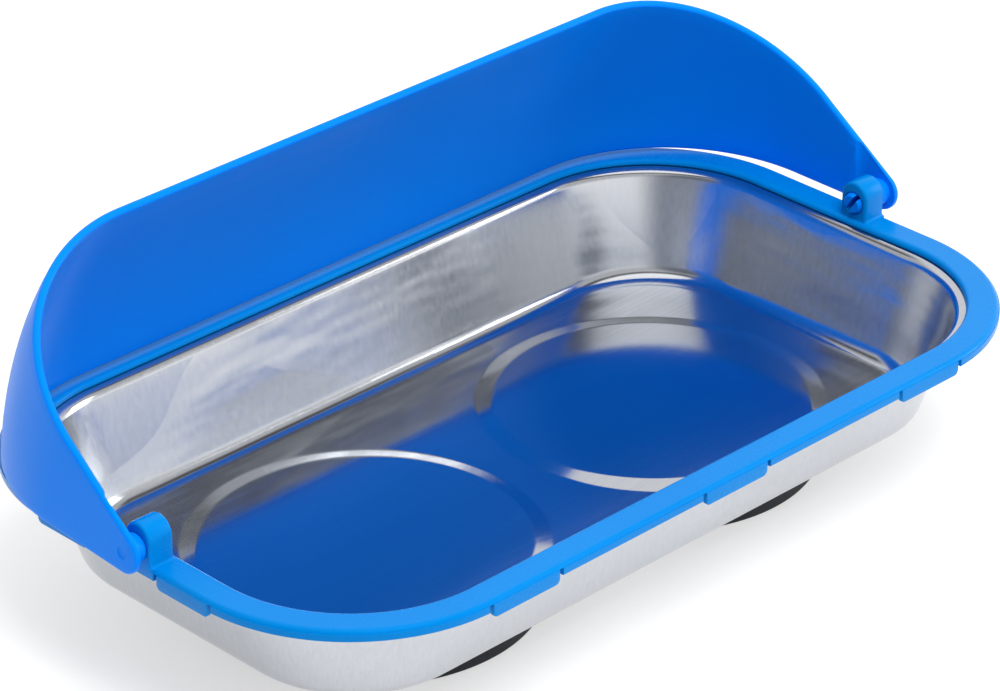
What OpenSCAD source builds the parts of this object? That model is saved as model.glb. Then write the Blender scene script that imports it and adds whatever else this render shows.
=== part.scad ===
// Magnetic parts tray: a pressed steel dish in a clipped-on plastic rim, with a hinged splash guard.
// Millimetres. +X runs along the dish, +Y to the back, +Z up. The table is at z = 0.

/* [Rim frame] */
// Length of the rim frame
rim_l = 250; // [246:0.5:254]
// Width of the rim frame
rim_w = 147.4; // [146:0.2:149]
// Outer corner radius of the rim frame
rim_r = 46.3; // [46:0.1:47]
// Height of the rim's flat top above the table
rim_top = 42.6; // [42.4:0.1:45]
// Width of the rim from its outer face to the lip inside
rim_band = 8.4; // [8:0.1:8.8]
// Thickness of the rim's top web
web_t = 1.6; // [1.5:0.1:2]
// Thickness of the rim's skirt
skirt_t = 1.4; // [1.2:0.1:1.5]
// Depth of the skirt below the flat top
skirt_h = 2.8; // [2.6:0.1:3]
// Radius of the rounded outer edge
edge_r = 1.3; // [1.1:0.1:1.4]
// Width of the fine ledge under the rounded edge
ledge = 0.15; // [0.1:0.05:0.25]
// Radius of the rounded inner lip
lip_r = 1.2; // [0.8:0.1:1.4]

/* [Snap tabs] */
// Depth of the tabs below the flat top
tab_h = 4.5; // [4:0.1:5]
// Length of the tabs on the long sides
long_tab_l = 20.8; // [16:0.2:22]
// Length of the tabs on the short sides
short_tab_l = 17; // [14:0.5:18]
// Distance between neighbouring tabs on the long sides
long_tab_pitch = 69.2; // [60:0.2:69.2]
// Distance between the two tabs on the short sides
short_tab_pitch = 41.4; // [36:0.2:42]
// Width of the relief slot at each end of a tab
tab_slot = 1.2; // [0.8:0.1:1.6]
// Reach of the hook under the flange of the dish
hook_reach = 1.6; // [1.3:0.1:1.8]
// Radius of the tab's lower corners
tab_r = 1.2; // [0.6:0.1:1.4]

/* [Hinge] */
// Distance of the hinge axis in front of the middle
hinge_front = 6; // [5:0.1:7]
// Height of the hinge axis above the rim's flat top
hinge_up = 4.4; // [4.3:0.1:4.8]
// Distance from the middle to the inner face of a hinge ear
ear_x = 117.8; // [117.6:0.1:118]
// Thickness of a hinge ear along the axis
ear_t = 7.2; // [6.8:0.1:7.3]
// Half width of a hinge ear
ear_r = 4.2; // [4:0.05:4.5]
// Height of the ear's arch centre above the hinge axis
ear_rise = 1.6; // [0.6:0.1:1.8]
// Radius of the bore in a hinge ear
bore_r = 3; // [2.6:0.05:3.1]
// Radial running clearance of the hinge pin
pin_gap = 0.05; // [0.02:0.01:0.1]
// Width of the slit in the hinge pin
pin_slit = 1.3; // [0.8:0.1:1.6]
// Lean of the slit away from upright
slit_lean = 33; // [0:1:40]
// Radius of the boss behind the hinge pin
boss_r = 3.5; // [3.2:0.1:4]

/* [Splash guard] */
// Half of the guard's length over its outer faces
guard_half = 128.7; // [128.5:0.1:129.2]
// Spread of the arms: how much further out they would stand at the back wall's axis
arm_spread = 2.5; // [2.2:0.1:2.8]
// Outer radius of the curved back wall
guard_back_r = 111.9; // [111.6:0.1:112.2]
// Outer corner radius between an arm and the back wall
guard_corner_r = 48.8; // [48:0.1:50]
// Wall thickness of the guard
guard_t = 2; // [1.6:0.1:2.2]
// Distance of the back wall's axis in front of the hinge axis
wall_front = 36; // [35.8:0.1:36.2]
// Distance of the back wall's axis below the hinge axis
wall_down = 14.25; // [14:0.05:14.5]
// Angle of the guard's free edge above horizontal
free_angle = 36.6; // [33:0.1:38]
// Angle of the guard's lower edge above horizontal
low_angle = 1.65; // [1.6:0.05:2]
// Radius of the rounded end of an arm
arm_r = 5.2; // [4.8:0.1:5.3]
// Depth by which an arm is thinned inside near the hinge
arm_relief = 0.5; // [0.3:0.1:0.7]

/* [Dish] */
// Sheet thickness of the dish
steel_t = 0.7; // [0.6:0.05:0.8]
// Height of the dish's underside above the table
dish_z = 12.3; // [12.2:0.1:13]
// Distance from the middle to a corner centre along X
dish_cx = 77.2; // [77:0.1:77.5]
// Distance from the middle to a corner centre along Y
dish_cy = 25.7; // [25.4:0.1:26]
// Corner radius of the flat floor
floor_r = 25.4; // [25:0.1:25.6]
// Outer radius between floor and wall
foot_r = 5.5; // [4.5:0.1:5.6]
// Slope of the wall away from vertical
wall_angle = 17.5; // [17:0.1:17.8]
// Inner radius of the roll between wall and flange
roll_r = 3; // [2.6:0.1:3.2]
// Corner radius of the flange's outer edge
flange_r = 45.8; // [45.4:0.1:45.9]

/* [Floor lands] */
// Distance of a land's centre from the middle
land_x = 49.6; // [49:0.1:50]
// Radius of a land's flat top
land_r = 40.4; // [40.2:0.1:41]
// Radius at the foot of a land's sloped edge
land_foot_r = 44.8; // [44:0.1:45]
// Height of a land above the floor
land_h = 0.8; // [0.6:0.05:1]

/* [Magnets] */
// Distance of a magnet's centre from the middle
mag_x = 49.4; // [48.6:0.1:49.6]
// Outer radius of a magnet cover
cover_r = 43.2; // [42.2:0.1:43.4]
// Thickness of a magnet cover's wall
cover_t = 1.6; // [1.2:0.1:1.8]
// Rounding of a magnet cover's lower edge
cover_edge = 0.8; // [0.6:0.1:1.6]
// Outer radius of a ring magnet
ring_r = 40; // [38:0.5:40]
// Inner radius of a ring magnet
ring_hole_r = 16; // [12:0.5:20]
// Thickness of a ring magnet
ring_h = 7.9; // [7:0.1:8]
// Thickness of a pole plate
plate_h = 2.4; // [2:0.1:2.6]

/* [Hidden] */
$fn = 144;
blue = [0.02, 0.36, 0.86];
steel = [0.78, 0.79, 0.81];

rim_cx = rim_l / 2 - rim_r;
rim_cy = rim_w / 2 - rim_r;
web_z = rim_top - web_t;
ledge_z = rim_top - 0.9;
lip_x = rim_r - rim_band + lip_r;
edge_x = rim_r - ledge - edge_r;
skirt_x = rim_r - skirt_t;

flange_z = web_z;
flange_low_z = flange_z - steel_t;
tab_z = rim_top - tab_h;
hook_gap = 0.1;
hook_z = flange_low_z - hook_gap;
hook_tip = 0.4;

hinge_y = -hinge_front;
hinge_z = rim_top + hinge_up;
ear_arch_z = hinge_z + ear_rise;
ear_foot_r = 0.8;
pin_r = bore_r - pin_gap;
pin_nose_r = 2.4;
pin_nose_h = 1.2;
pin_out = 1;
slit_depth = 5.6;
boss_gap = 0.3;
boss_x = ear_x + ear_t + boss_gap;
relief_y = hinge_y + 6.6;
dimple_r = 1.6;
dimple_d = 0.3;
corner_out = [guard_back_r - guard_corner_r, guard_half - guard_corner_r];
hinge_arm = 1 - norm([wall_front, wall_down]) / corner_out[0];
arm_out = guard_half + arm_spread * hinge_arm;
arm_in = arm_out - guard_t;
reach = 200;

foot_z = dish_z + foot_r;
roll_z = flange_z - roll_r;
wall_n = [cos(wall_angle), -sin(wall_angle)];
foot_c = [floor_r, foot_z];
roll_up = roll_z - foot_z + (roll_r + foot_r - steel_t) * sin(wall_angle);
roll_out = (roll_r + foot_r - steel_t) * cos(wall_angle) + roll_up * tan(wall_angle);
roll_c = [floor_r + roll_out, roll_z];

cover_top_z = dish_z - 0.1;
cover_in_r = cover_r - cover_t;
ring_z = cover_t + plate_h;
pad_z = ring_z + ring_h;
pad_top_z = dish_z + land_h;
pad_r = land_r - (land_x - mag_x) - 0.6;

// Carries a profile, drawn as distance from a corner centre against height, round a rounded rectangle
module carry_round(cx, cy) {
    for (c = [[1, 1, 0], [-1, 1, 90], [-1, -1, 180], [1, -1, 270]])
        translate([c[0] * cx, c[1] * cy, 0])
            rotate([0, 0, c[2]])
                rotate_extrude(angle = 90) children();
    for (s = [[cx, cy, 0], [cy, cx, 90], [cx, cy, 180], [cy, cx, 270]])
        rotate([0, 0, s[2]])
            translate([s[0], s[1], 0])
                rotate([90, 0, 0])
                    linear_extrude(height = 2 * s[1]) children();
}

// Extrudes a side view, drawn as Y against Z, from x0 to x1
module side_view(x0, x1) {
    translate([x0, 0, 0])
        rotate([90, 0, 90])
            linear_extrude(height = x1 - x0) children();
}

// A cylinder or cone along X on the hinge axis, from x0 to x1
module on_hinge(x0, x1, ra, rb) {
    translate([x0, hinge_y, hinge_z])
        rotate([0, 90, 0])
            cylinder(r1 = ra, r2 = rb, h = x1 - x0);
}

// The sheet's section grown inwards by t: the outline of everything inside its outer or inner face
module dish_section(t, mouth_z) {
    foot_a = foot_c + (foot_r - t) * wall_n;
    roll_a = roll_c - (roll_r - steel_t + t) * wall_n;
    difference() {
        union() {
            polygon([
                [0, dish_z + t], [floor_r, dish_z + t], foot_c, foot_a, roll_a, roll_c,
                [roll_c[0], mouth_z], [0, mouth_z]
            ]);
            translate(foot_c) circle(r = foot_r - t);
        }
        translate(roll_c) circle(r = roll_r - steel_t + t);
    }
}

module dish_profile() {
    difference() {
        union() {
            dish_section(0, flange_z);
            translate([roll_c[0], flange_low_z]) square([flange_r - roll_c[0], steel_t]);
        }
        dish_section(steel_t, flange_z + 1);
    }
}

// A round land with a sloped edge, standing on height z
module lands(z) {
    for (s = [-1, 1])
        translate([s * land_x, 0, z])
            cylinder(r1 = land_foot_r, r2 = land_r, h = land_h);
}

module steel_bowl() {
    color(steel)
        difference() {
            union() {
                carry_round(dish_cx, dish_cy) dish_profile();
                translate([-dish_cx, -dish_cy, dish_z])
                    cube([2 * dish_cx, 2 * dish_cy, steel_t]);
                lands(dish_z + steel_t);
            }
            lands(dish_z);
        }
}

module rim_profile() {
    translate([lip_x, web_z]) square([edge_x - lip_x, web_t]);
    translate([lip_x - lip_r, web_z]) square([lip_r, web_t - lip_r]);
    intersection() {
        translate([lip_x, rim_top - lip_r]) circle(r = lip_r);
        translate([lip_x - lip_r, rim_top - lip_r]) square(lip_r);
    }
    intersection() {
        translate([edge_x, rim_top - edge_r]) circle(r = edge_r);
        translate([edge_x, rim_top - edge_r]) square(edge_r);
    }
    translate([edge_x, web_z]) square([rim_r - edge_x, ledge_z - web_z]);
    translate([skirt_x, rim_top - skirt_h]) square([skirt_t, ledge_z - rim_top + skirt_h]);
}

// Section of a tab: the skirt carried further down, with a hook that snaps under the flange
module tab_profile() {
    translate([skirt_x, tab_z]) square([skirt_t, web_z - tab_z]);
    polygon([
        [skirt_x, hook_z], [skirt_x - hook_reach, hook_z], [skirt_x - hook_reach, hook_z - hook_tip],
        [skirt_x, tab_z + hook_tip]
    ]);
}

// Front view of a tab of length l, its lower corners rounded
module tab_face(l) {
    translate([-l / 2, tab_z + tab_r]) square([l, web_z - tab_z - tab_r]);
    translate([tab_r - l / 2, tab_z]) square([l - 2 * tab_r, tab_r]);
    for (s = [-1, 1])
        translate([s * (l / 2 - tab_r), tab_z + tab_r]) circle(r = tab_r);
}

// The two relief slots beside a tab of length l
module slot_face(l) {
    for (s = [-1, 1])
        translate([s * (l + tab_slot) / 2 - tab_slot / 2, tab_z]) square([tab_slot, ledge_z - tab_z]);
}

// Section of the ring that the relief slots are cut from: all of the skirt below the ledge
module slot_profile() {
    translate([skirt_x, tab_z - 1]) square([skirt_t + 1, ledge_z - tab_z + 1]);
}

// Extrudes a front view, drawn as X against Z, right across the rim
module across(x) {
    translate([x, 0, 0])
        rotate([90, 0, 0])
            linear_extrude(height = rim_w + 2, center = true) children();
}

// Extrudes an end view, drawn as Y against Z, right along the rim
module along(y) {
    translate([0, y, 0])
        side_view(-rim_l / 2 - 1, rim_l / 2 + 1) children();
}

// Side view of a hinge ear with a small flare where it meets the rim
module ear_face() {
    foot = ear_r + ear_foot_r;
    difference() {
        union() {
            translate([hinge_y, ear_arch_z]) circle(r = ear_r);
            translate([hinge_y - ear_r, web_z]) square([2 * ear_r, ear_arch_z - web_z]);
            translate([hinge_y - foot, web_z]) square([2 * foot, web_t + ear_foot_r]);
        }
        for (s = [-1, 1])
            translate([hinge_y + s * foot, rim_top + ear_foot_r]) circle(r = ear_foot_r);
        translate([hinge_y, hinge_z]) circle(r = bore_r);
    }
}

module rim_frame() {
    color(blue) {
        difference() {
            carry_round(rim_cx, rim_cy) rim_profile();
            intersection() {
                carry_round(rim_cx, rim_cy) slot_profile();
                union() {
                    for (x = [-long_tab_pitch, 0, long_tab_pitch])
                        across(x) slot_face(long_tab_l);
                    for (s = [-1, 1])
                        along(s * short_tab_pitch / 2) slot_face(short_tab_l);
                }
            }
        }
        intersection() {
            carry_round(rim_cx, rim_cy) tab_profile();
            union() {
                for (x = [-long_tab_pitch, 0, long_tab_pitch])
                    across(x) tab_face(long_tab_l);
                for (s = [-1, 1])
                    along(s * short_tab_pitch / 2) tab_face(short_tab_l);
            }
        }
        side_view(ear_x, ear_x + ear_t) ear_face();
        side_view(-ear_x - ear_t, -ear_x) ear_face();
    }
}

// Half section of the drum that the guard is cut from: radius against distance along its axis
module drum_section(t) {
    r = guard_corner_r - t;
    polygon([
        [0, t - guard_half - arm_spread], [corner_out[0], t - guard_half],
        [corner_out[0], guard_half - t], [0, guard_half + arm_spread - t]
    ]);
    translate([0, -corner_out[1]]) square([guard_back_r - t, 2 * corner_out[1]]);
    for (s = [-1, 1])
        intersection() {
            translate([corner_out[0], s * corner_out[1]]) circle(r = r);
            translate([corner_out[0], (s - 1) * guard_half / 2]) square([r, guard_half]);
        }
}

// Side view of the guard: a rounded arm end that widens to the back between two straight edges
module guard_face() {
    hinge = [hinge_y, hinge_z];
    low = hinge + arm_r * [sin(low_angle), -cos(low_angle)];
    high = hinge + arm_r * [-sin(free_angle), cos(free_angle)];
    translate(hinge) circle(r = arm_r);
    polygon([
        hinge, low, low + reach * [cos(low_angle), sin(low_angle)],
        high + reach * [cos(free_angle), sin(free_angle)], high
    ]);
}

// The split hinge pin on the +X arm, with the boss it stands on
module hinge_pin() {
    tip_x = ear_x - pin_out;
    nose_x = tip_x + pin_nose_h;
    difference() {
        union() {
            on_hinge(tip_x, nose_x, pin_nose_r, pin_r);
            on_hinge(nose_x, arm_in + guard_t / 2, pin_r, pin_r);
            on_hinge(boss_x, arm_in + guard_t / 2, boss_r, boss_r);
        }
        translate([tip_x - 1, hinge_y, hinge_z])
            rotate([slit_lean, 0, 0])
                translate([0, -pin_slit / 2, -bore_r])
                    cube([slit_depth + 1, pin_slit, 2 * bore_r]);
    }
}

module splash_guard() {
    color(blue)
        difference() {
            union() {
                difference() {
                    intersection() {
                        translate([0, hinge_y - wall_front, hinge_z - wall_down])
                            rotate([0, 90, 0])
                                rotate_extrude() difference() {
                                    drum_section(0);
                                    drum_section(guard_t);
                                }
                        side_view(-guard_half - arm_spread, guard_half + arm_spread) guard_face();
                    }
                    translate([-arm_in - arm_relief, relief_y - reach, hinge_z - reach / 2])
                        cube([2 * (arm_in + arm_relief), reach, reach]);
                }
                for (m = [0, 1])
                    mirror([m, 0, 0]) hinge_pin();
            }
            for (m = [0, 1])
                mirror([m, 0, 0]) on_hinge(arm_out - dimple_d, arm_out + 1, dimple_r, dimple_r);
        }
}

module magnet_cover() {
    color([0.2, 0.21, 0.23])
        rotate_extrude() difference() {
            union() {
                square([cover_r - cover_edge, cover_edge]);
                translate([cover_r - cover_edge, cover_edge]) circle(r = cover_edge);
                translate([0, cover_edge]) square([cover_r, cover_top_z - cover_edge]);
            }
            translate([0, cover_t]) square([cover_in_r, cover_top_z]);
        }
}

module pole_plate() {
    color(steel)
        translate([0, 0, cover_t]) cylinder(r = ring_r, h = plate_h);
}

module ring_magnet() {
    color([0.16, 0.15, 0.15])
        translate([0, 0, ring_z])
            rotate_extrude()
                translate([ring_hole_r, 0]) square([ring_r - ring_hole_r, ring_h]);
}

module adhesive_pad() {
    color([0.85, 0.85, 0.8])
        translate([0, 0, pad_z]) cylinder(r = pad_r, h = pad_top_z - pad_z);
}

steel_bowl();
rim_frame();
splash_guard();
translate([-mag_x, 0, 0]) magnet_cover();  // magnet_cover_left
translate([-mag_x, 0, 0]) pole_plate();  // pole_plate_left
translate([-mag_x, 0, 0]) ring_magnet();  // ring_magnet_left
translate([-mag_x, 0, 0]) adhesive_pad();  // adhesive_pad_left
translate([mag_x, 0, 0]) magnet_cover();  // magnet_cover_right
translate([mag_x, 0, 0]) pole_plate();  // pole_plate_right
translate([mag_x, 0, 0]) ring_magnet();  // ring_magnet_right
translate([mag_x, 0, 0]) adhesive_pad();  // adhesive_pad_right
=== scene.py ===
import math

import bmesh
import bpy
from mathutils import Matrix, Vector


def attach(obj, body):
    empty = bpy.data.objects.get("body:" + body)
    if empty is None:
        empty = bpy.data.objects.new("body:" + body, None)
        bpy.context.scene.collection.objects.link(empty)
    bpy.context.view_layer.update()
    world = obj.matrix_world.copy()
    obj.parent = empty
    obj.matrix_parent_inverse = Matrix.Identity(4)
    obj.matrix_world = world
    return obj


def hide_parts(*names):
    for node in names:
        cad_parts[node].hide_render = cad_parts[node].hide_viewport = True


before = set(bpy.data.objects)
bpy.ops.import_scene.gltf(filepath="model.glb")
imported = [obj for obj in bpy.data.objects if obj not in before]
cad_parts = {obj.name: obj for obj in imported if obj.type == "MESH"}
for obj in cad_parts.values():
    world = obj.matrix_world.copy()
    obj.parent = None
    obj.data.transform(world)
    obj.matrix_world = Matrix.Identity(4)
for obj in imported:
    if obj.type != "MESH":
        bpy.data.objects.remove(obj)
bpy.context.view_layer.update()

MM = 0.001
TINY = 1e-6

# ---------------------------------------------------------------- sizes, in millimetres, as in the CAD part
# Rim frame: the centres and radius of its corners, its heights, its inner lip and its outer edge
RIM_CX, RIM_CY, RIM_R = 78.7, 27.4, 46.3
RIM_TOP, WEB_Z = 42.6, 41.0
LEDGE_Z = RIM_TOP - 0.9
RIM_IN = RIM_R - 8.4
LIP_R, EDGE_R, LEDGE = 1.2, 1.3, 0.15
# Skirt under the rim's edge, and the snap tabs with a slot on each side and a hook inside
SKIRT_X = RIM_R - 1.4
SKIRT_Z, TAB_Z, TAB_R, TAB_SLOT = 39.8, 38.1, 1.2, 1.2
LONG_TAB, SHORT_TAB = 20.8, 17.0
LONG_PITCH, SHORT_PITCH = 69.2, 41.4
HOOK = 1.6
# Hinge line, the ears on the rim, and the guard's split pins with the boss behind each
HINGE_Y, HINGE_Z = -6.0, 47.0
EAR_X, EAR_T, EAR_R, EAR_RISE, BORE_R = 117.8, 7.2, 4.2, 1.6, 3.0
PIN_R, BOSS_R, BOSS_X = 2.95, 3.5, 125.3
SLIT_W, SLIT_LEAN = 1.3, math.radians(33)
# Guard: a wall about an axis in front of and below the hinge, with arms that spread towards the hinge
GUARD_X, GUARD_R, GUARD_CR, GUARD_T = 128.7, 111.9, 48.8, 2.0
AXIS_DY, AXIS_DZ = 36.0, 14.25
AXIS_Y, AXIS_Z = HINGE_Y - AXIS_DY, HINGE_Z - AXIS_DZ
FREE_A, LOW_A, ARM_R = math.radians(36.6), math.radians(1.65), 5.2
SPREAD = 2.5
ARM_OUT = GUARD_X + SPREAD * (1 - math.hypot(AXIS_DY, AXIS_DZ) / (GUARD_R - GUARD_CR))
# Dish: the centres and radius of its floor's corners, its sheet, its bends, and the two raised lands
BOWL_CX, BOWL_CY = 77.2, 25.7
BOWL_Z, STEEL_T = 12.3, 0.7
FLOOR_R, FOOT_R, ROLL_R, FLANGE_R = 25.4, 5.5, 3.0, 45.8
WALL_A = math.radians(17.5)
LAND_X, LAND_R, LAND_FOOT, LAND_H = 49.6, 40.4, 44.8, 0.8
# Magnet covers
MAG_X, COVER_R, COVER_T, COVER_TOP = 49.4, 43.2, 1.6, 12.2

# ---------------------------------------------------------------- edges in millimetres, and mesh steps
SHARP, SHARP_STEEL = 35, 40  # edges that turn by more degrees than this stay crisp
WELD = 0.002
STRAIGHT_STEPS = 8
MARK_GAP = 0.3
HOLD = 0.5  # a row of vertices this close to a bend keeps the flat beside it flat
CHAMFER = 0.25
HINGE_STEPS, COVER_STEPS, LAND_STEPS, DIMPLE_STEPS = 72, 160, 144, 48


# ---------------------------------------------------------------- mesh helpers
def link(name, data):
    obj = bpy.data.objects.new(name, data)
    bpy.context.scene.collection.objects.link(obj)
    return obj


def finish_shading(obj, sharp=SHARP):
    mesh = obj.data
    mesh.polygons.foreach_set("use_smooth", [True] * len(mesh.polygons))
    mesh.set_sharp_from_angle(angle=math.radians(sharp))
    mesh.update()


def new_piece(name, bm, material=None, sharp=SHARP):
    """Puts a bmesh drawn in millimetres into the scene, in metres, smooth but for its sharp edges."""
    bmesh.ops.remove_doubles(bm, verts=bm.verts, dist=WELD)
    bmesh.ops.recalc_face_normals(bm, faces=bm.faces)
    bmesh.ops.scale(bm, vec=(MM, MM, MM), verts=bm.verts)
    mesh = bpy.data.meshes.new(name)
    bm.to_mesh(mesh)
    bm.free()
    obj = link(name, mesh)
    if material is not None:
        mesh.materials.append(material)
    finish_shading(obj, sharp)
    return obj


def bake(obj):
    """Turns an object's modifiers into its mesh."""
    bpy.context.view_layer.update()
    graph = bpy.context.evaluated_depsgraph_get()
    mesh = bpy.data.meshes.new_from_object(obj.evaluated_get(graph), depsgraph=graph)
    old = obj.data
    obj.modifiers.clear()
    obj.data = mesh
    bpy.data.meshes.remove(old)


def combine(obj, tools, operation):
    """Joins or cuts obj with the tool objects, which are used up."""
    for tool in tools:
        mod = obj.modifiers.new("combine", "BOOLEAN")
        mod.operation = operation
        mod.solver = "EXACT"
        mod.object = tool
        bake(obj)
        mesh = tool.data
        bpy.data.objects.remove(tool)
        bpy.data.meshes.remove(mesh)
    return obj


def grid_faces(bm, rows, closed_u=False, closed_v=False):
    """Quads between rows of vertices; u runs from row to row and v along a row."""
    n = len(rows)
    m = len(rows[0])
    for i in range(n if closed_u else n - 1):
        for j in range(m if closed_v else m - 1):
            a, b = rows[i], rows[(i + 1) % n]
            bm.faces.new((a[j], b[j], b[(j + 1) % m], a[(j + 1) % m]))


def arc(cx, cy, r, a0, a1, n):
    """Points on an arc from a0 to a1 degrees."""
    angles = [math.radians(a0 + (a1 - a0) * k / n) for k in range(n + 1)]
    return [(cx + r * math.cos(a), cy + r * math.sin(a)) for a in angles]


def lathe(profile, segments, place):
    """Revolves (radius, height) points; place turns (radius, angle, height) into a point."""
    bm = bmesh.new()
    rings = []
    for r, h in profile:
        if r < TINY:
            rings.append([bm.verts.new(place(0, 0, h))])
        else:
            rings.append([bm.verts.new(place(r, 2 * math.pi * k / segments, h)) for k in range(segments)])
    for a, b in zip(rings, rings[1:]):
        for k in range(segments):
            q = (k + 1) % segments
            if len(a) == 1:
                bm.faces.new((a[0], b[k], b[q]))
            elif len(b) == 1:
                bm.faces.new((a[k], b[0], a[q]))
            else:
                bm.faces.new((a[k], b[k], b[q], a[q]))
    return bm


def hinge_lathe(profile, segments, side, start=0.0):
    """Revolves (radius, distance along the hinge from start) points about the hinge line."""
    return lathe(
        profile,
        segments,
        lambda r, a, h: (side * (start + h), HINGE_Y + r * math.cos(a), HINGE_Z + r * math.sin(a)),
    )


def box_tool(name, side, xs, ys, zs):
    """A box between pairs of limits, with its x limits measured outwards on one side of the object."""
    limits = (sorted(side * x for x in xs), ys, zs)
    bm = bmesh.new()
    bmesh.ops.create_cube(bm, size=1)
    for v in bm.verts:
        v.co = Vector([(low + high) / 2 + c * (high - low) for c, (low, high) in zip(v.co, limits)])
    return new_piece(name, bm)


def round_path(cx, cy, r, steps, marks=None):
    """Stations round a rounded rectangle, anticlockwise side by side, the +X side first.
    Each is (base x, base y, normal x, normal y, side, distance along the side from its middle).
    A side takes in half of the corner at each end, in that many steps. Marks lists extra distances
    per side; other stations too close to one of them are left out."""
    out = []
    for side, (half, a0) in enumerate(((cy, 0), (cx, 90), (cy, 180), (cx, 270))):
        turn = Matrix.Rotation(math.radians(a0), 2)
        reach = cx if side % 2 == 0 else cy
        length = half + r * math.pi / 4
        values = set(-half + 2 * half * k / STRAIGHT_STEPS for k in range(STRAIGHT_STEPS + 1))
        bend = [half + r * math.radians(45 * k / steps) for k in range(1, steps + 1)]
        values |= set(s * v for v in bend for s in (-1, 1))
        extra = set((marks or {}).get(side, ()))
        values = {v for v in values if all(abs(v - e) > MARK_GAP for e in extra)} | extra
        for v in sorted(values):
            if v >= length - TINY:
                continue
            over = max(abs(v) - half, 0) / r
            angle = math.copysign(over, v)
            base = turn @ Vector((reach, max(-half, min(half, v))))
            normal = turn @ Vector((math.cos(angle), math.sin(angle)))
            out.append((base.x, base.y, normal.x, normal.y, side, v))
    return out


def path_vert(bm, station, out, z):
    """A vertex at a distance outwards from one station of a path."""
    x, y, nx, ny = station[:4]
    return bm.verts.new((x + nx * out, y + ny * out, z))


# ---------------------------------------------------------------- the dish
def bowl_profile():
    """Section of the sheet from the inner floor edge over the flange to the outer floor edge."""
    wall_steps, bend_steps = 8, 14
    edge_r, edge_steps, edge_inset = 0.3, 6, 2.5
    foot = (FLOOR_R, BOWL_Z + FOOT_R)
    grow = ROLL_R + FOOT_R - STEEL_T
    roll_z = WEB_Z - ROLL_R
    rise = roll_z - foot[1] + grow * math.sin(WALL_A)
    roll = (FLOOR_R + grow * math.cos(WALL_A) + rise * math.tan(WALL_A), roll_z)
    slope = math.degrees(WALL_A)

    def skin(foot_r, roll_r):
        low = arc(foot[0], foot[1], foot_r, -90, -slope, bend_steps)
        high = arc(roll[0], roll[1], roll_r, 180 - slope, 90, bend_steps)
        a, b = low[-1], high[0]
        wall = [
            (a[0] + (b[0] - a[0]) * k / wall_steps, a[1] + (b[1] - a[1]) * k / wall_steps)
            for k in range(1, wall_steps)
        ]
        return low + wall + high

    inner = skin(FOOT_R - STEEL_T, ROLL_R)
    outer = skin(FOOT_R, ROLL_R - STEEL_T)
    top, low = inner[-1][1], outer[-1][1]
    edge = [(FLANGE_R - edge_inset, top), (FLANGE_R - edge_r, top)]
    edge += arc(FLANGE_R - edge_r, (top + low) / 2, edge_r, 90, -90, edge_steps)
    edge += [(FLANGE_R - edge_r, low), (FLANGE_R - edge_inset, low)]
    return inner + edge + outer[::-1]


def land_rings(bm, x, z):
    """The rings of a raised land: flat support, a sloped edge with small radii, and the flat top."""
    soft, support, steps = 0.55, 0.6, 5
    slope = LAND_H / (LAND_FOOT - LAND_R)
    shape = [(LAND_FOOT + soft + support, 0.0), (LAND_FOOT + soft, 0.0)]
    for k in range(1, steps + 1):
        t = k / steps
        shape.append((LAND_FOOT + soft - 2 * soft * t, slope * soft * t * t))
    for k in range(steps):
        t = k / steps
        shape.append((LAND_R + soft - 2 * soft * t, LAND_H - slope * soft * (1 - t) ** 2))
    shape += [(LAND_R - soft, LAND_H), (LAND_R - soft - support, LAND_H)]
    angles = [2 * math.pi * k / LAND_STEPS for k in range(LAND_STEPS)]
    rings = [[bm.verts.new((x + r * math.cos(a), r * math.sin(a), z + h)) for a in angles] for r, h in shape]
    grid_faces(bm, rings, closed_v=True)
    bm.faces.new(rings[-1])
    return rings[0]


def floor_skin(bm, z, stations, edge):
    """The flat floor between the edge ring and the two lands."""
    support = [path_vert(bm, s, FLOOR_R - HOLD, z) for s in stations]
    grid_faces(bm, [edge, support], closed_v=True)
    loops = [support] + [land_rings(bm, s * LAND_X, z) for s in (-1, 1)]
    edges = []
    for loop in loops:
        for k, v in enumerate(loop):
            w = loop[(k + 1) % len(loop)]
            edges.append(bm.edges.get((v, w)) or bm.edges.new((v, w)))
    bmesh.ops.triangle_fill(bm, use_beauty=True, use_dissolve=False, edges=edges)


def make_bowl(material):
    stations = round_path(BOWL_CX, BOWL_CY, FLOOR_R, steps=20)
    bm = bmesh.new()
    rows = [[path_vert(bm, s, p, z) for s in stations] for p, z in bowl_profile()]
    grid_faces(bm, rows, closed_v=True)
    floor_skin(bm, BOWL_Z + STEEL_T, stations, rows[0])
    floor_skin(bm, BOWL_Z, stations, rows[-1])
    return new_piece("pressed_dish", bm, material, SHARP_STEEL)


# ---------------------------------------------------------------- the rim frame
HOOK_INSET, CRISP = 0.3, 0.04  # stations as close together as CRISP make a step in the rim look sharp


def side_tabs(side):
    """Half the width of a side's tabs, and their centres."""
    if side % 2 == 0:
        return SHORT_TAB / 2, (-SHORT_PITCH / 2, SHORT_PITCH / 2)
    return LONG_TAB / 2, (-LONG_PITCH, 0.0, LONG_PITCH)


def tab_state(side, v):
    """Lower edge of the skirt at a distance along a side, and how far the hook stands in."""
    slack = 1e-4
    half, centres = side_tabs(side)
    u = min(abs(v - c) for c in centres)
    if u <= half + slack:
        over = max(u - (half - TAB_R), 0)
        low = TAB_Z + TAB_R - math.sqrt(max(TAB_R**2 - over**2, 0))
        return low, HOOK if u < half - HOOK_INSET else 0.0
    if u < half + TAB_SLOT - slack:
        return LEDGE_Z, 0.0
    return SKIRT_Z, 0.0


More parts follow.
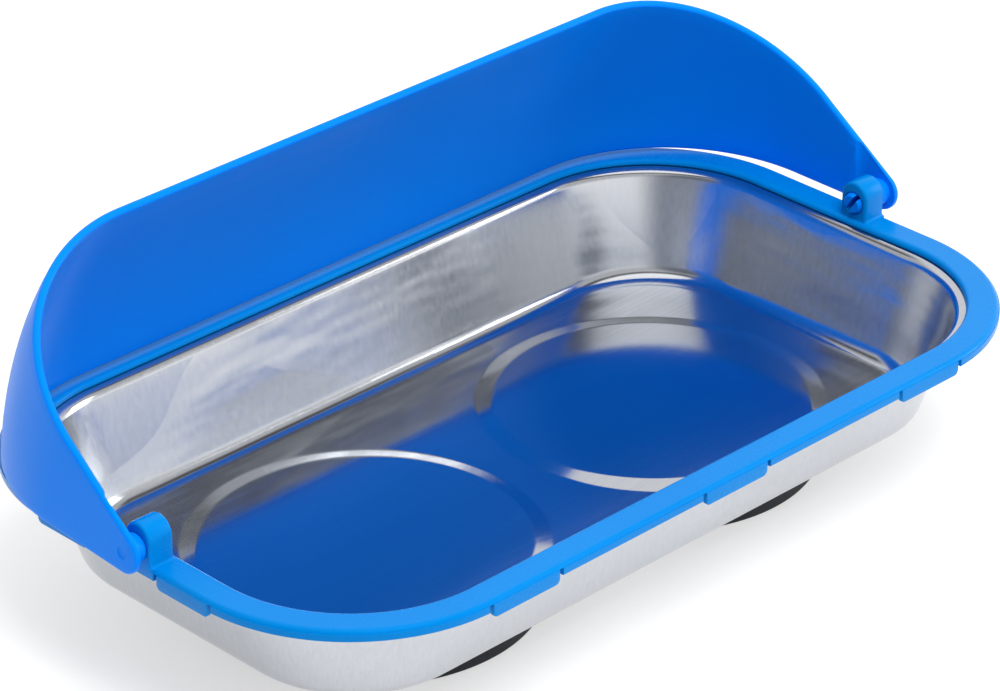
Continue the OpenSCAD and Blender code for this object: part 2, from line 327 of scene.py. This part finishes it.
def tab_marks():
    """Where the stations round the rim have to stand so that the tabs get clean edges."""
    marks = {}
    for side in range(4):
        half, centres = side_tabs(side)
        offsets = [half - TAB_R + TAB_R * math.sin(math.radians(a)) for a in (0, 20, 40, 60, 75)]
        offsets += [half - HOOK_INSET - CRISP, half - HOOK_INSET, half, half + CRISP]
        offsets += [half + TAB_SLOT - CRISP, half + TAB_SLOT]
        marks[side] = sorted(c + s * o for c in centres for o in offsets for s in (-1, 1))
    return marks


def rim_profile(low, hook):
    """Section of the rim, with the same number of points for a slot, a plain skirt and a hooked tab."""
    crisp, skirt_r, skirt_edge = 0.06, 0.3, 0.2
    roof_from, roof_step = 0.25, 0.16
    hook_z = WEB_Z - 0.8  # under the dish's flange, with 0.1 of clearance
    hook_slope, hook_tip = 0.6, 0.4
    lip = (RIM_IN + LIP_R, RIM_TOP - LIP_R)
    edge = (RIM_R - LEDGE - EDGE_R, RIM_TOP - EDGE_R)
    stop = math.degrees(math.asin((LEDGE_Z - edge[1]) / EDGE_R))
    pts = [(RIM_IN, WEB_Z + CHAMFER)]
    pts += arc(lip[0], lip[1], LIP_R, 180, 90, 8)
    pts += [(lip[0] + HOLD, RIM_TOP), (RIM_R - 4.4, RIM_TOP), (edge[0] - HOLD, RIM_TOP)]
    pts += arc(edge[0], edge[1], EDGE_R, 90, stop, 8)
    if low == LEDGE_Z:
        pts += [(RIM_R - roof_from - roof_step * k, LEDGE_Z) for k in range(8)]
    else:
        pts += [(RIM_R - crisp, LEDGE_Z), (RIM_R, LEDGE_Z - crisp)]
        pts += arc(RIM_R - skirt_r, low + skirt_r, skirt_r, 0, -90, 3)
        pts += [(SKIRT_X + skirt_edge, low), (SKIRT_X, low + skirt_edge)]
    if hook:
        tip = SKIRT_X - hook
        pts += [(SKIRT_X, low + hook_slope), (tip, hook_z - hook_tip), (tip, hook_z), (SKIRT_X, hook_z)]
    elif low == LEDGE_Z:
        pts += [(SKIRT_X, low + (WEB_Z - low) * f) for f in (0.2, 0.4, 0.6, 0.8)]
    else:
        pts += [(SKIRT_X, low + skirt_edge + (hook_z - low - skirt_edge) * f) for f in (0.25, 0.5, 0.75, 1.0)]
    pts += [(SKIRT_X, WEB_Z), (SKIRT_X - HOLD, WEB_Z), (RIM_IN + 0.75, WEB_Z), (RIM_IN + CHAMFER, WEB_Z)]
    return pts


def ear_outline():
    """(y, z, normal y, normal z) round an ear: a flared foot on the rim, straight sides and an arch."""
    # The odd hundredths here and in make_ear keep the ear's faces out of the rim's
    foot, low = 0.8, WEB_Z + 0.05
    foot_steps, arch_steps = 4, 12
    top = HINGE_Z + EAR_RISE
    flare = RIM_TOP + foot - 0.03
    half = [(EAR_R + foot, low, 1.0, 0.0), (EAR_R + foot, flare - foot - 0.01, 1.0, 0.0)]
    for k in range(foot_steps + 1):
        a = math.radians(-90 - 90 * k / foot_steps)
        half.append((EAR_R + foot + foot * math.cos(a), flare + foot * math.sin(a), 1.0, 0.0))
    for k in range(arch_steps + 1):
        a = math.radians(90 * k / arch_steps)
        half.append((EAR_R * math.cos(a), top + EAR_R * math.sin(a), math.cos(a), math.sin(a)))
    return half + [(-y, z, -ny, nz) for y, z, ny, nz in half[-2::-1]]


def make_ear(side):
    """An arch with rounded edges that stands on the rim and holds the hinge pin."""
    round_r = 0.8
    x0, x1 = EAR_X, EAR_X + EAR_T - 0.02
    stations = []
    for a in (0, 22.5, 45, 67.5, 90):
        away, inset = 1 - math.cos(math.radians(a)), 1 - math.sin(math.radians(a))
        stations.append((x0 + round_r * away, round_r * inset))
    stations += [(x1 - (x - x0), inset) for x, inset in stations[::-1]]
    outline = ear_outline()
    bm = bmesh.new()
    rings = [
        [bm.verts.new((side * x, HINGE_Y + y - inset * ny, z - inset * nz)) for y, z, ny, nz in outline]
        for x, inset in stations
    ]
    grid_faces(bm, rings, closed_v=True)
    bm.faces.new(rings[0])
    bm.faces.new(rings[-1])
    ear = new_piece("ear", bm)
    past, wide = 1, 0.9
    profile = [(0, -past), (BORE_R + wide, -past), (BORE_R + CHAMFER, 0), (BORE_R, CHAMFER)]
    profile += [(BORE_R, EAR_T - CHAMFER), (BORE_R + CHAMFER, EAR_T)]
    profile += [(BORE_R + wide, EAR_T + past), (0, EAR_T + past)]
    bore = new_piece("bore", hinge_lathe(profile, HINGE_STEPS, side, EAR_X))
    return combine(ear, [bore], "DIFFERENCE")


def make_rim(material):
    stations = round_path(RIM_CX, RIM_CY, RIM_R, steps=22, marks=tab_marks())
    bm = bmesh.new()
    rows = [[path_vert(bm, s, p, z) for p, z in rim_profile(*tab_state(*s[4:]))] for s in stations]
    grid_faces(bm, rows, closed_u=True, closed_v=True)
    # The tabs' side faces are twisted quads, which the union needs as triangles
    bmesh.ops.remove_doubles(bm, verts=bm.verts, dist=WELD)
    bmesh.ops.triangulate(bm, faces=bm.faces)
    rim = new_piece("clip_on_rim", bm, material)
    combine(rim, [make_ear(-1), make_ear(1)], "UNION")
    finish_shading(rim)
    return rim


# ---------------------------------------------------------------- the splash guard
def line_angle(r, a, offset):
    """Angle about the wall's axis where the circle of radius r meets the guard's edge at angle a."""
    u = Vector((math.cos(a), math.sin(a)))
    t = Vector((HINGE_Y, HINGE_Z)) + offset * ARM_R * Vector((-math.sin(a), math.cos(a)))
    d = t - Vector((AXIS_Y, AXIS_Z))
    b = d.dot(u)
    p = d + (math.sqrt(b * b - d.length_squared + r * r) - b) * u
    return math.atan2(p.y, p.x)


def arm_x(r, inset):
    """Distance of an arm's face from the middle, at a radius about the wall's axis."""
    return GUARD_X - inset + SPREAD * (1 - r / (GUARD_R - GUARD_CR))


def guard_section(inset):
    """(x, radius about the wall's axis) from the +X arm over the back wall to the -X arm."""
    x0, r0, c = GUARD_X - GUARD_CR, GUARD_R - GUARD_CR, GUARD_CR - inset
    corner = [math.radians(90 - 2.5 * k) for k in range(37)]
    half = [(arm_x(r, inset), r) for r in (39.5, 42, 46, 50, 54, 58, 61, r0 - 0.8)]
    half += [(x0 + c * math.sin(b), r0 + c * math.cos(b)) for b in corner]
    half += [(x0 * f, r0 + c) for f in (0.97, 0.75, 0.5, 0.25, 0.0)]
    return half + [(-x, r) for x, r in half[-2::-1]]


def guard_skin(bm, inset):
    """One face of the guard's sheet: rows across the wall, and the points round each arm's tip."""
    # Wide steps next to the cut edges leave room for their rounding
    margin, inner_steps, tip_steps = 0.1, 14, 24
    steps = [0.0] + [margin + (1 - 2 * margin) * k / inner_steps for k in range(inner_steps + 1)] + [1.0]
    rows = []
    for x, r in guard_section(inset):
        a0, a1 = line_angle(r, LOW_A, -1), line_angle(r, FREE_A, 1)
        angles = [a0 + (a1 - a0) * f for f in steps]
        rows.append([bm.verts.new((x, AXIS_Y + r * math.cos(a), AXIS_Z + r * math.sin(a))) for a in angles])
    grid_faces(bm, rows)
    # The flat arm ends: a row's points, then the rounded tip between the tangent points
    tips = []
    for end, sign in ((0, 1), (-1, -1)):
        tip = []
        for k in range(tip_steps + 1):
            a = FREE_A + math.pi / 2 + (math.pi - FREE_A + LOW_A) * k / tip_steps
            y, z = HINGE_Y + ARM_R * math.cos(a), HINGE_Z + ARM_R * math.sin(a)
            x = arm_x(math.hypot(y - AXIS_Y, z - AXIS_Z), inset)
            tip.append(bm.verts.new((sign * x, y, z)))
        bm.faces.new(rows[end] + tip)
        tips.append(tip)
    return rows, tips


def make_sheet(material):
    """The guard's sheet, with rounded edges all round."""
    bm = bmesh.new()
    loops = []
    for rows, tips in [guard_skin(bm, inset) for inset in (0.0, GUARD_T)]:
        top = [row[-1] for row in rows]
        low = [row[0] for row in rows]
        loops.append(top + tips[1] + low[::-1] + tips[0][::-1])
    grid_faces(bm, loops, closed_v=True)
    weight = bm.edges.layers.float.new("bevel_weight_edge")
    for loop in loops:
        for k, v in enumerate(loop):
            edge = bm.edges.get((v, loop[(k + 1) % len(loop)]))
            edge[weight] = 1.0
    sheet = new_piece("visor_guard", bm, material)
    bevel = sheet.modifiers.new("edge", "BEVEL")
    bevel.limit_method = "WEIGHT"
    bevel.width = 0.75 * MM
    bevel.segments = 4
    bevel.use_clamp_overlap = False
    bake(sheet)
    return sheet


def make_relief(side):
    """Cuts the inside of an arm flat round the hinge, with a slanting end towards the back."""
    reach, back, slant = 30, 6.6, 5
    face, clear, depth = ARM_OUT - GUARD_T, 3, 0.5
    ys, zs = (HINGE_Y - reach, HINGE_Y + back), (HINGE_Z - reach, HINGE_Z + reach)
    relief = box_tool("relief", side, (face - clear, face + depth), ys, zs)
    for v in relief.data.vertices:
        if v.co.y > HINGE_Y * MM and abs(v.co.x) < face * MM:
            v.co.y += slant * MM
    return relief


def make_pin(side):
    """A hinge pin with a narrowed end, a boss at its root and a leaning slit."""
    x0, x1 = EAR_X - 1.0, ARM_OUT - 0.9
    slit_from, slit_to, tall = EAR_X - 2, EAR_X + 4.6, 4
    profile = [(0, x0), (2.2, x0), (2.45, x0 + 0.2), (PIN_R - 0.06, x0 + 1.15), (PIN_R, x0 + 1.4)]
    profile += [(PIN_R, BOSS_X), (BOSS_R - 0.3, BOSS_X), (BOSS_R - 0.09, BOSS_X + 0.09), (BOSS_R, BOSS_X + 0.3)]
    profile += [(BOSS_R, x1), (0, x1)]
    pin = new_piece("pin", hinge_lathe(profile, HINGE_STEPS, side))
    ys, zs = (HINGE_Y - SLIT_W / 2, HINGE_Y + SLIT_W / 2), (HINGE_Z - tall, HINGE_Z + tall)
    slit = box_tool("slit", side, (slit_from, slit_to), ys, zs)
    hinge = Matrix.Translation(Vector((0, HINGE_Y, HINGE_Z)) * MM)
    slit.data.transform(hinge @ Matrix.Rotation(SLIT_LEAN, 4, "X") @ hinge.inverted())
    return combine(pin, [slit], "DIFFERENCE")


def make_dimple(side):
    """Cuts the shallow moulding mark on an arm's outer face, on the hinge line."""
    profile = [(0, -0.3), (1.2, -0.3), (1.45, -0.18), (1.6, 0), (1.75, 0.2), (1.75, 1), (0, 1)]
    return new_piece("dimple", hinge_lathe(profile, DIMPLE_STEPS, side, ARM_OUT))


def make_guard(material):
    guard = make_sheet(material)
    combine(guard, [make_relief(-1), make_relief(1)], "DIFFERENCE")
    combine(guard, [make_pin(-1), make_pin(1)], "UNION")
    combine(guard, [make_dimple(-1), make_dimple(1)], "DIFFERENCE")
    finish_shading(guard)
    return guard


# ---------------------------------------------------------------- magnet covers
def make_cover(name, side, material):
    """An open-topped cup with a rounded foot."""
    foot_r, rim_r, bevel = 0.8, 0.4, 0.1
    inner = COVER_R - COVER_T
    profile = [(0, 0), (COVER_R - 3, 0)] + arc(COVER_R - foot_r, foot_r, foot_r, -90, 0, 8)
    profile += [(COVER_R, 6), (COVER_R, COVER_TOP - HOLD)]
    profile += arc(COVER_R - rim_r, COVER_TOP - rim_r, rim_r, 0, 90, 3)
    profile += [(inner + bevel, COVER_TOP), (inner, COVER_TOP - bevel), (inner, COVER_T), (0, COVER_T)]
    bm = lathe(profile, COVER_STEPS, lambda r, a, h: (side * MAG_X + r * math.cos(a), r * math.sin(a), h))
    return new_piece(name, bm, material)


# ---------------------------------------------------------------- materials
NOISE_SPAN = (0.3, 0.7)  # where most of a noise texture's values lie


def plug(tree, socket, value):
    """Sets a socket to a value, or links it to another node's output."""
    if isinstance(value, bpy.types.NodeSocket):
        tree.links.new(value, socket)
    else:
        socket.default_value = value


def node(tree, kind, inputs=None, **settings):
    n = tree.nodes.new(kind)
    for key, value in settings.items():
        setattr(n, key, value)
    for key, value in (inputs or {}).items():
        plug(tree, n.inputs[key], value)
    return n


def set_in(tree, shader, **values):
    for key, value in values.items():
        plug(tree, shader.inputs[key.replace("_", " ")], value)


def ramp(tree, fac, stops):
    n = node(tree, "ShaderNodeValToRGB", {"Fac": fac})
    elements = n.color_ramp.elements
    while len(elements) < len(stops):
        elements.new(0.5)
    for element, (place, colour) in zip(elements, stops):
        element.position = place
        element.color = (*colour, 1)
    return n.outputs["Color"]


def shades(tree, fac, dark, pale, span=NOISE_SPAN):
    return ramp(tree, fac, [(span[0], dark), (span[1], pale)])


def value_range(tree, value, low, high, source=NOISE_SPAN):
    """Maps source's range of value to the range from low to high."""
    inputs = {"Value": value, "From Min": source[0], "From Max": source[1], "To Min": low, "To Max": high}
    return node(tree, "ShaderNodeMapRange", inputs).outputs["Result"]


def maths(tree, operation, *values):
    return node(tree, "ShaderNodeMath", dict(enumerate(values)), operation=operation).outputs[0]


# A mix node has its plain numbers at inputs 2 and 3 and output 0, and its colours at 6 and 7 and output 2
def mix_values(tree, factor, a, b):
    return node(tree, "ShaderNodeMix", {"Factor": factor, 2: a, 3: b}, data_type="FLOAT").outputs[0]


def mix_colours(tree, factor, a, b, **settings):
    return node(tree, "ShaderNodeMix", {"Factor": factor, 6: a, 7: b}, data_type="RGBA", **settings).outputs[2]


def stretch(tree, vector, scale):
    return node(tree, "ShaderNodeMapping", {"Vector": vector, "Scale": scale}).outputs["Vector"]


def noise(tree, vector, scale, detail, rough=0.5):
    inputs = {"Vector": vector, "Scale": scale, "Detail": detail, "Roughness": rough}
    return node(tree, "ShaderNodeTexNoise", inputs).outputs["Fac"]


def bump(tree, height, strength, distance, normal=None):
    inputs = {"Height": height, "Strength": strength, "Distance": distance}
    if normal is not None:
        inputs["Normal"] = normal
    return node(tree, "ShaderNodeBump", inputs).outputs["Normal"]


def start_material(name):
    mat = bpy.data.materials.new(name)
    mat.use_nodes = True
    tree = mat.node_tree
    tree.nodes.clear()
    out = node(tree, "ShaderNodeOutputMaterial")
    shader = node(tree, "ShaderNodeBsdfPrincipled")
    tree.links.new(shader.outputs["BSDF"], out.inputs["Surface"])
    coords = node(tree, "ShaderNodeTexCoord").outputs["Object"]
    return mat, tree, shader, coords


def plastic(name, deep, light, roughness, grain, shine):
    """Moulded plastic: a slightly uneven colour, a fine moulded grain and a faint flow waviness."""
    mat, tree, shader, coords = start_material(name)
    cloud = noise(tree, coords, 14, 2)
    speck = noise(tree, coords, 2600, 2, 0.6)
    flow = noise(tree, coords, 45, 2)
    fleck = value_range(tree, speck, roughness - 0.03, roughness + 0.05)
    wave = bump(tree, flow, 0.25, 0.0002)
    set_in(
        tree,
        shader,
        Base_Color=shades(tree, cloud, deep, light),
        Roughness=maths(tree, "ADD", value_range(tree, flow, -0.03, 0.03), fleck),
        Normal=bump(tree, speck, grain, 0.00005, wave),
        IOR=1.5,
        Specular_IOR_Level=shine,
        Specular_Tint=(0.25, 0.6, 1.0, 1.0),
    )
    return mat


def steel(name):
    """Pressed stainless sheet: a near-mirror floor with a fine rolled grain along X, and duller drawn walls
    with patches of shallow dents. One steel in lit and shaded copies: painted light on the walls inside,
    painted shade on the outside, which get a lighter and a darker base than the floor."""
    mat, tree, shader, coords = start_material(name)
    facing = node(tree, "ShaderNodeNewGeometry").outputs["Normal"]
    level = node(tree, "ShaderNodeSeparateXYZ", {"Vector": facing}).outputs["Z"]
    inside = value_range(tree, level, 0.0, 1.0, (-0.1, 0.1))
    steep = value_range(tree, maths(tree, "ABSOLUTE", level), 1.0, 0.0, (0.3, 0.95))

    rolled = noise(tree, stretch(tree, coords, (16.0, 2200.0, 900.0)), 1.0, 3, 0.6)
    drawn = noise(tree, stretch(tree, coords, (1300.0, 1300.0, 18.0)), 1.0, 3, 0.6)
    grain = mix_values(tree, steep, rolled, drawn)

    # Lit and shaded copies of one steel: painted shade on the outside, painted light on the walls inside, the
    # floor between
    outer = shades(tree, grain, (0.5, 0.52, 0.55), (0.56, 0.58, 0.61), (0.25, 0.75))
    walls = shades(tree, grain, (0.76, 0.78, 0.81), (0.83, 0.85, 0.88), (0.25, 0.75))
    bottom = shades(tree, grain, (0.5, 0.52, 0.56), (0.57, 0.59, 0.63), (0.25, 0.75))
    base = mix_colours(tree, inside, outer, mix_colours(tree, steep, bottom, walls))

    smear = value_range(tree, noise(tree, coords, 11, 3), -0.01, 0.025, (0.35, 0.7))
    rough = maths(tree, "ADD", value_range(tree, grain, 0.08, 0.12), smear)
    rough = maths(tree, "ADD", rough, value_range(tree, steep, 0.0, 0.1, (0.0, 1.0)))

    patches = value_range(tree, noise(tree, coords, 13, 1), 0.0, 1.0, (0.5, 0.62))
    patches = maths(tree, "MULTIPLY", patches, steep)
    dents = maths(tree, "MULTIPLY", noise(tree, stretch(tree, coords, (20.0, 20.0, 75.0)), 1.0, 2), patches)
    wave = bump(tree, noise(tree, coords, 22, 2), 0.2, 0.0004)
    dented = bump(tree, dents, 1.0, 0.0009, wave)
    fine = bump(tree, grain, 0.05, 0.00002, dented)
    set_in(tree, shader, Base_Color=base, Metallic=1.0, Roughness=rough, Normal=fine)
    return mat


def matte(name, dark, pale, roughness, scale, strength):
    """A dull surface with a slightly uneven colour and a fine grain."""
    mat, tree, shader, coords = start_material(name)
    speck = noise(tree, coords, scale, 4, 0.6)
    set_in(
        tree,
        shader,
        Base_Color=shades(tree, noise(tree, coords, 25, 3), dark, pale),
        Roughness=value_range(tree, speck, roughness - 0.08, roughness + 0.08),
        Normal=bump(tree, speck, strength, 0.0001),
        Specular_IOR_Level=0.2,
    )
    return mat


def hidden_metal(name, dark, pale, metallic, roughness):
    """The plates and magnets inside the covers."""
    mat, tree, shader, coords = start_material(name)
    speck = noise(tree, coords, 500, 5, 0.6)
    set_in(
        tree,
        shader,
        Base_Color=shades(tree, speck, dark, pale),
        Metallic=metallic,
        Roughness=value_range(tree, speck, roughness - 0.1, roughness + 0.1),
        Normal=bump(tree, speck, 0.3, 0.0001),
    )
    return mat


# ---------------------------------------------------------------- build
RIM_BLUE = plastic("rim_plastic", (0.0, 0.185, 0.56), (0.0, 0.205, 0.6), 0.24, 0.1, 0.16)
GUARD_BLUE = plastic("guard_plastic_satin", (0.0, 0.195, 0.83), (0.0, 0.21, 0.88), 0.36, 0.3, 0.12)
STEEL = steel("pressed_stainless")
COVER = matte("magnet_cover_vinyl", (0.013, 0.017, 0.021), (0.022, 0.027, 0.033), 0.6, 900, 0.4)
PLATE = hidden_metal("pole_plate_zinc", (0.42, 0.43, 0.44), (0.6, 0.6, 0.6), 1.0, 0.4)
FERRITE = hidden_metal("ring_magnet_ferrite", (0.02, 0.02, 0.02), (0.06, 0.06, 0.06), 0.2, 0.65)
PAD = matte("adhesive_foam", (0.62, 0.6, 0.54), (0.72, 0.7, 0.65), 0.8, 1500, 0.6)

pieces = [
    (make_bowl(STEEL), "tray", "steel_bowl", "bowl_steel"),
    (make_rim(RIM_BLUE), "tray", "rim_frame", "blue_plastic"),
    (make_guard(GUARD_BLUE), "guard", "splash_guard", "guard_plastic"),
    (make_cover("cover_left", -1, COVER), "tray", "magnet_cover_left", "cover_plastic"),
    (make_cover("cover_right", 1, COVER), "tray", "magnet_cover_right", "cover_plastic"),
]
for piece, body, cad_node, material_slot in pieces:
    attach(piece, body)
    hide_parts(cad_node)

for side in ("left", "right"):
    for cad_node, material in (("pole_plate_", PLATE), ("ring_magnet_", FERRITE), ("adhesive_pad_", PAD)):
        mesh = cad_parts[cad_node + side].data
        for k in range(len(mesh.materials)):
            mesh.materials[k] = material

# ---------------------------------------------------------------- studio floor
FLOOR_HALF, FLOOR_GAP = 3, 0.00005  # metres; the gap keeps the floor clear of the covers' undersides
corners = [(x * FLOOR_HALF, y * FLOOR_HALF, -FLOOR_GAP) for x, y in ((-1, -1), (1, -1), (1, 1), (-1, 1))]
floor_mesh = bpy.data.meshes.new("studio_floor")
floor_mesh.from_pydata(corners, [], [(0, 1, 2, 3)])
floor = link("studio_floor", floor_mesh)
paper, tree, shader, coords = start_material("studio_paper")
set_in(
    tree,
    shader,
    Base_Color=shades(tree, noise(tree, coords, 3, 2), (0.5, 0.5, 0.5), (0.52, 0.52, 0.52)),
    Roughness=0.9,
    Specular_IOR_Level=0.0,
    Emission_Color=(1, 1, 1, 1),
    Emission_Strength=0.55,
)
floor_mesh.materials.append(paper)

# ---------------------------------------------------------------- world: a room by height, white at the back
world = bpy.data.worlds.new("studio")
bpy.context.scene.world = world
world.use_nodes = True
tree = world.node_tree
tree.nodes.clear()
direction = node(tree, "ShaderNodeTexCoord").outputs["Generated"]


def towards(vector):
    """How far a direction points along a vector."""
    dot = node(tree, "ShaderNodeVectorMath", {0: direction, 1: vector}, operation="DOT_PRODUCT")
    return dot.outputs["Value"]


BLACK, WHITE, CEILING = (0, 0, 0), (1, 1, 1), (1.3, 1.3, 1.3)
room = ramp(
    tree,
    node(tree, "ShaderNodeSeparateXYZ", {"Vector": direction}).outputs["Z"],
    [
        (0.0, (0.85, 0.85, 0.86)),
        (0.16, (0.95, 0.95, 0.96)),
        (0.34, (0.62, 0.625, 0.635)),
        (0.56, (0.5, 0.505, 0.515)),
        (0.72, (0.62, 0.625, 0.63)),
        (0.775, (0.09, 0.09, 0.095)),
        (0.83, (0.08, 0.08, 0.085)),
        (0.88, CEILING),
        (1.0, CEILING),
    ],
)
shade = shades(tree, towards((-0.85, -0.1, 0.0)), WHITE, (0.28, 0.3, 0.34), (0.52, 0.7))
room = mix_colours(tree, 1.0, room, shade, blend_type="MULTIPLY")
backdrop = shades(tree, towards((0.66, 0.72, 0.2)), BLACK, WHITE, (0.45, 0.72))
sky = mix_colours(tree, backdrop, room, (*WHITE, 1))
back = node(tree, "ShaderNodeBackground", {"Color": sky, "Strength": 1.0})
tree.links.new(back.outputs[0], node(tree, "ShaderNodeOutputWorld").inputs["Surface"])


# ---------------------------------------------------------------- lights, in metres and watts
def softbox(name, place, target, size, watts, mirrored=True):
    """A rectangular light aimed at target; mirrored says whether reflections show it."""
    light = bpy.data.lights.new(name, "AREA")
    light.shape = "RECTANGLE"
    light.size, light.size_y = size
    light.energy = watts
    obj = link(name, light)
    obj.location = place
    obj.visible_glossy = mirrored
    obj.rotation_euler = (Vector(target) - Vector(place)).to_track_quat("-Z", "Y").to_euler()


softbox("key_top", (-0.15, -0.52, 1.05), (0, 0, 0), (0.6, 0.6), 11, mirrored=False)
softbox("side_right", (1.2, -0.75, 0.5), (0, 0, 0.04), (0.5, 0.8), 5)

# ---------------------------------------------------------------- camera
AZIMUTH, ELEVATION, ROLL = math.radians(-44.917), math.radians(28.598), math.radians(0.206)
AIM, DISTANCE = (28.649, 33.367, 24.0), 1117.745  # millimetres
SENSOR, LENS = 36, 158.86  # millimetres

scene = bpy.context.scene
scene.view_settings.view_transform = "Standard"
scene.view_settings.look = "None"

right = Vector((math.cos(AZIMUTH), math.sin(AZIMUTH), 0))
flat = math.cos(ELEVATION)
backward = Vector((math.sin(AZIMUTH) * flat, -math.cos(AZIMUTH) * flat, math.sin(ELEVATION)))
upward = backward.cross(right)
rolled_right = right * math.cos(ROLL) + upward * math.sin(ROLL)
rolled_up = upward * math.cos(ROLL) - right * math.sin(ROLL)
camera_data = bpy.data.cameras.new("camera")
camera_data.sensor_fit = "HORIZONTAL"
camera_data.sensor_width = SENSOR
camera_data.lens = LENS
camera = link("camera", camera_data)
place = Vector(AIM) * MM + backward * DISTANCE * MM
axes = Matrix((rolled_right, rolled_up, backward)).transposed()
camera.matrix_world = Matrix.Translation(place) @ axes.to_4x4()
scene.camera = camera

bpy.context.view_layer.update()
